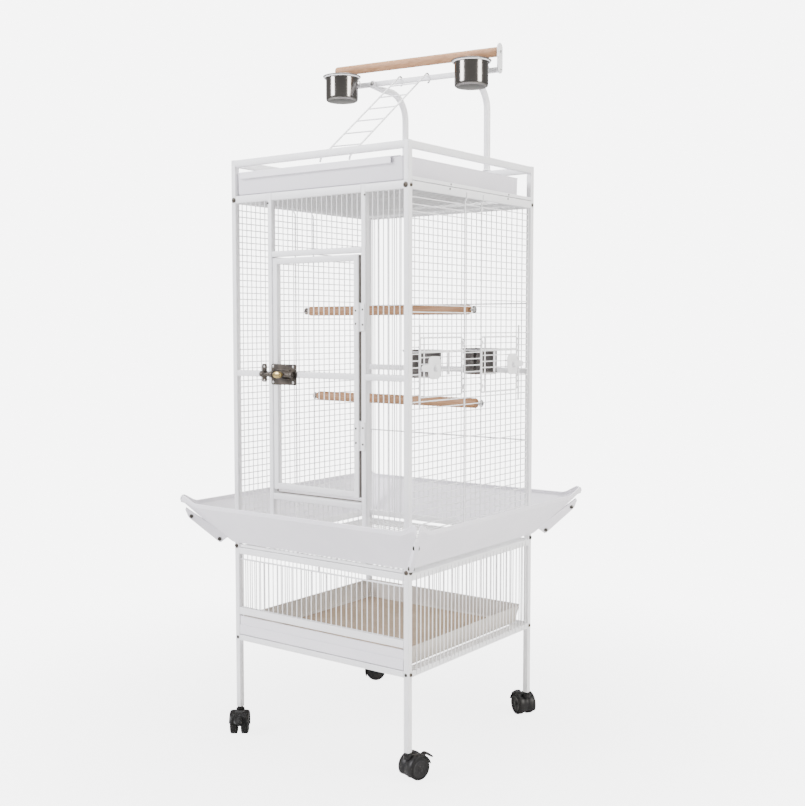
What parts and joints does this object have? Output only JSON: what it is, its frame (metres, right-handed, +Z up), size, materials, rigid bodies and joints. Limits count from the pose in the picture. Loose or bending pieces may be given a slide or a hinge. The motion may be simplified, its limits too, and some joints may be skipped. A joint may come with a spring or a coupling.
{
  "type": "bird cage on stand",
  "caption": "Square wire bird cage with a play-top tray, perch and ladder, seed skirt, slide-out trays and feeder doors, on a rolling stand.",
  "frame": {"origin": "on the floor, under the middle of the cage's square plan", "axes": "+Z up, -Y the front with the main door, +X the side with the two feeder doors"},
  "size_m": [0.6528, 0.6528, 1.5644],
  "materials": {
    "powder_coat": "white powder coat, fine orange peel, semi-matt",
    "tray_coat": "beige powder coat, matt",
    "steel": "polished stainless steel, turned",
    "wood": "bare sanded hardwood dowel",
    "bronze": "dark antique bronze plate",
    "brass": "polished brass",
    "black_plastic": "moulded black nylon"
  },
  "bodies": {
    "cage": {"leg_front_left": "powder_coat", "leg_front_right": "powder_coat", "leg_back_left": "powder_coat", "leg_back_right": "powder_coat", "stand_panel_left": "powder_coat", "stand_panel_right": "powder_coat", "stand_panel_back": "powder_coat", "stand_panel_front": "powder_coat", "stand_rail_front": "powder_coat", "skirt_front": "powder_coat", "skirt_right": "powder_coat", "skirt_back": "powder_coat", "skirt_left": "powder_coat", "left_panel": "powder_coat", "back_panel": "powder_coat", "right_panel_lower": "powder_coat", "right_panel_front": "powder_coat", "right_panel_centre": "powder_coat", "right_panel_back": "powder_coat", "right_panel_upper": "powder_coat", "front_panel_left": "powder_coat", "front_panel_right": "powder_coat", "front_panel_top": "powder_coat", "front_panel_bottom": "powder_coat", "roof_grille": "powder_coat", "play_frame": "powder_coat", "play_leg_left": "powder_coat", "play_leg_right": "powder_coat", "play_crossbar": "powder_coat", "perch_upper": "wood", "perch_lower": "wood", "play_perch": "wood", "bolt_keeper": "bronze"},
    "dropping_tray": {"dropping_tray": "tray_coat"},
    "floor_grate": {"floor_grate": "powder_coat"},
    "play_tray": {"play_tray": "powder_coat"},
    "main_door": {"main_door": "powder_coat", "bolt_plate": "bronze"},
    "door_bolt": {"door_bolt": "brass"},
    "ladder": {"ladder": "powder_coat"},
    "play_cup_left": {"play_cup_left": "steel"},
    "play_cup_right": {"play_cup_right": "steel"},
    "feeder_door_front": {"feeder_door_front": "powder_coat"},
    "feeder_latch_front": {"feeder_latch_front": "powder_coat"},
    "cage_cup_front": {"cage_cup_front": "steel"},
    "feeder_door_back": {"feeder_door_back": "powder_coat"},
    "feeder_latch_back": {"feeder_latch_back": "powder_coat"},
    "cage_cup_back": {"cage_cup_back": "steel"},
    "caster_front_left": {"caster_housing_front_left": "black_plastic"},
    "wheel_front_left": {"caster_wheel_front_left": "black_plastic"},
    "brake_front_left": {"caster_brake_front_left": "black_plastic"},
    "caster_front_right": {"caster_housing_front_right": "black_plastic"},
    "wheel_front_right": {"caster_wheel_front_right": "black_plastic"},
    "brake_front_right": {"caster_brake_front_right": "black_plastic"},
    "caster_back_left": {"caster_housing_back_left": "black_plastic"},
    "wheel_back_left": {"caster_wheel_back_left": "black_plastic"},
    "brake_back_left": {"caster_brake_back_left": "black_plastic"},
    "caster_back_right": {"caster_housing_back_right": "black_plastic"},
    "wheel_back_right": {"caster_wheel_back_right": "black_plastic"},
    "brake_back_right": {"caster_brake_back_right": "black_plastic"}
  },
  "joints": [
    {"name": "dropping_tray_slide", "type": "slide", "parent": "cage", "child": "dropping_tray", "axis": [0, -1, 0], "range_m": [0, 0.4]},
    {"name": "floor_grate_slide", "type": "slide", "parent": "cage", "child": "floor_grate", "axis": [0, -1, 0], "range_m": [0, 0.4]},
    {"name": "play_tray_slide", "type": "slide", "parent": "cage", "child": "play_tray", "axis": [0, -1, 0], "range_m": [0, 0.4]},
    {"name": "main_door_hinge", "type": "hinge", "parent": "cage", "child": "main_door", "pos_m": [0.1195, -0.2482, 0.8225], "axis": [0, 0, 1], "range_deg": [0, 110]},
    {"name": "door_bolt_slide", "type": "slide", "parent": "main_door", "child": "door_bolt", "axis": [-1, 0, 0], "range_m": [0, 0.0135]},
    {"name": "feeder_door_front_hinge", "type": "hinge", "parent": "cage", "child": "feeder_door_front", "pos_m": [0.2435, -0.041, 0.842], "axis": [0, 0, 1], "range_deg": [0, 90]},
    {"name": "feeder_door_back_hinge", "type": "hinge", "parent": "cage", "child": "feeder_door_back", "pos_m": [0.2435, 0.03, 0.842], "axis": [0, 0, -1], "range_deg": [0, 90]},
    {"name": "feeder_latch_front_turn", "type": "hinge", "parent": "feeder_door_front", "child": "feeder_latch_front", "pos_m": [0.2463, -0.158, 0.842], "axis": [-1, 0, 0], "range_deg": [0, 90]},
    {"name": "feeder_latch_back_turn", "type": "hinge", "parent": "feeder_door_back", "child": "feeder_latch_back", "pos_m": [0.2463, 0.15, 0.842], "axis": [1, 0, 0], "range_deg": [0, 90]},
    {"name": "cage_cup_front_lift", "type": "slide", "parent": "feeder_door_front", "child": "cage_cup_front", "axis": [0, 0, 1], "range_m": [0, 0.07]},
    {"name": "cage_cup_back_lift", "type": "slide", "parent": "feeder_door_back", "child": "cage_cup_back", "axis": [0, 0, 1], "range_m": [0, 0.07]},
    {"name": "play_cup_left_lift", "type": "slide", "parent": "cage", "child": "play_cup_left", "axis": [0, 0, 1], "range_m": [0, 0.07]},
    {"name": "play_cup_right_lift", "type": "slide", "parent": "cage", "child": "play_cup_right", "axis": [0, 0, 1], "range_m": [0, 0.07]},
    {"name": "ladder_lift", "type": "hinge", "parent": "cage", "child": "ladder", "pos_m": [0, 0.132, 1.506], "axis": [-0.9903, -0.139, 0], "range_deg": [0, 60]},
    {"name": "caster_swivel_front_right", "type": "hinge", "parent": "cage", "child": "caster_front_right", "pos_m": [0.2385, -0.2385, 0.05], "axis": [0, 0, 1], "continuous": true},
    {"name": "wheel_spin_front_right", "type": "hinge", "parent": "caster_front_right", "child": "wheel_front_right", "pos_m": [0.24376, -0.22129, 0.0245], "axis": [-0.9563, 0.2924, 0], "continuous": true},
    {"name": "brake_press_front_right", "type": "hinge", "parent": "caster_front_right", "child": "brake_front_right", "pos_m": [0.25122, -0.1969, 0.046], "axis": [-0.9563, 0.2924, 0], "range_deg": [0, 12]},
    {"name": "caster_swivel_front_left", "type": "hinge", "parent": "cage", "child": "caster_front_left", "pos_m": [-0.2385, -0.2385, 0.05], "axis": [0, 0, 1], "continuous": true},
    {"name": "wheel_spin_front_left", "type": "hinge", "parent": "caster_front_left", "child": "wheel_front_left", "pos_m": [-0.22742, -0.25268, 0.0245], "axis": [0.788, 0.6157, 0], "continuous": true},
    {"name": "brake_press_front_left", "type": "hinge", "parent": "caster_front_left", "child": "brake_front_left", "pos_m": [-0.21172, -0.27278, 0.046], "axis": [0.788, 0.6157, 0], "range_deg": [0, 12]},
    {"name": "caster_swivel_back_right", "type": "hinge", "parent": "cage", "child": "caster_back_right", "pos_m": [0.2385, 0.2385, 0.05], "axis": [0, 0, 1], "continuous": true},
    {"name": "wheel_spin_back_right", "type": "hinge", "parent": "caster_back_right", "child": "wheel_back_right", "pos_m": [0.22307, 0.24777, 0.0245], "axis": [-0.515, -0.8572, 0], "continuous": true},
    {"name": "brake_press_back_right", "type": "hinge", "parent": "caster_back_right", "child": "brake_back_right", "pos_m": [0.20121, 0.2609, 0.046], "axis": [-0.515, -0.8572, 0], "range_deg": [0, 12]},
    {"name": "caster_swivel_back_left", "type": "hinge", "parent": "cage", "child": "caster_back_left", "pos_m": [-0.2385, 0.2385, 0.05], "axis": [0, 0, 1], "continuous": true},
    {"name": "wheel_spin_back_left", "type": "hinge", "parent": "caster_back_left", "child": "wheel_back_left", "pos_m": [-0.22376, 0.24882, 0.0245], "axis": [-0.5736, 0.8192, 0], "continuous": true},
    {"name": "brake_press_back_left", "type": "hinge", "parent": "caster_back_left", "child": "brake_back_left", "pos_m": [-0.20287, 0.26345, 0.046], "axis": [-0.5736, 0.8192, 0], "range_deg": [0, 12]}
  ]
}
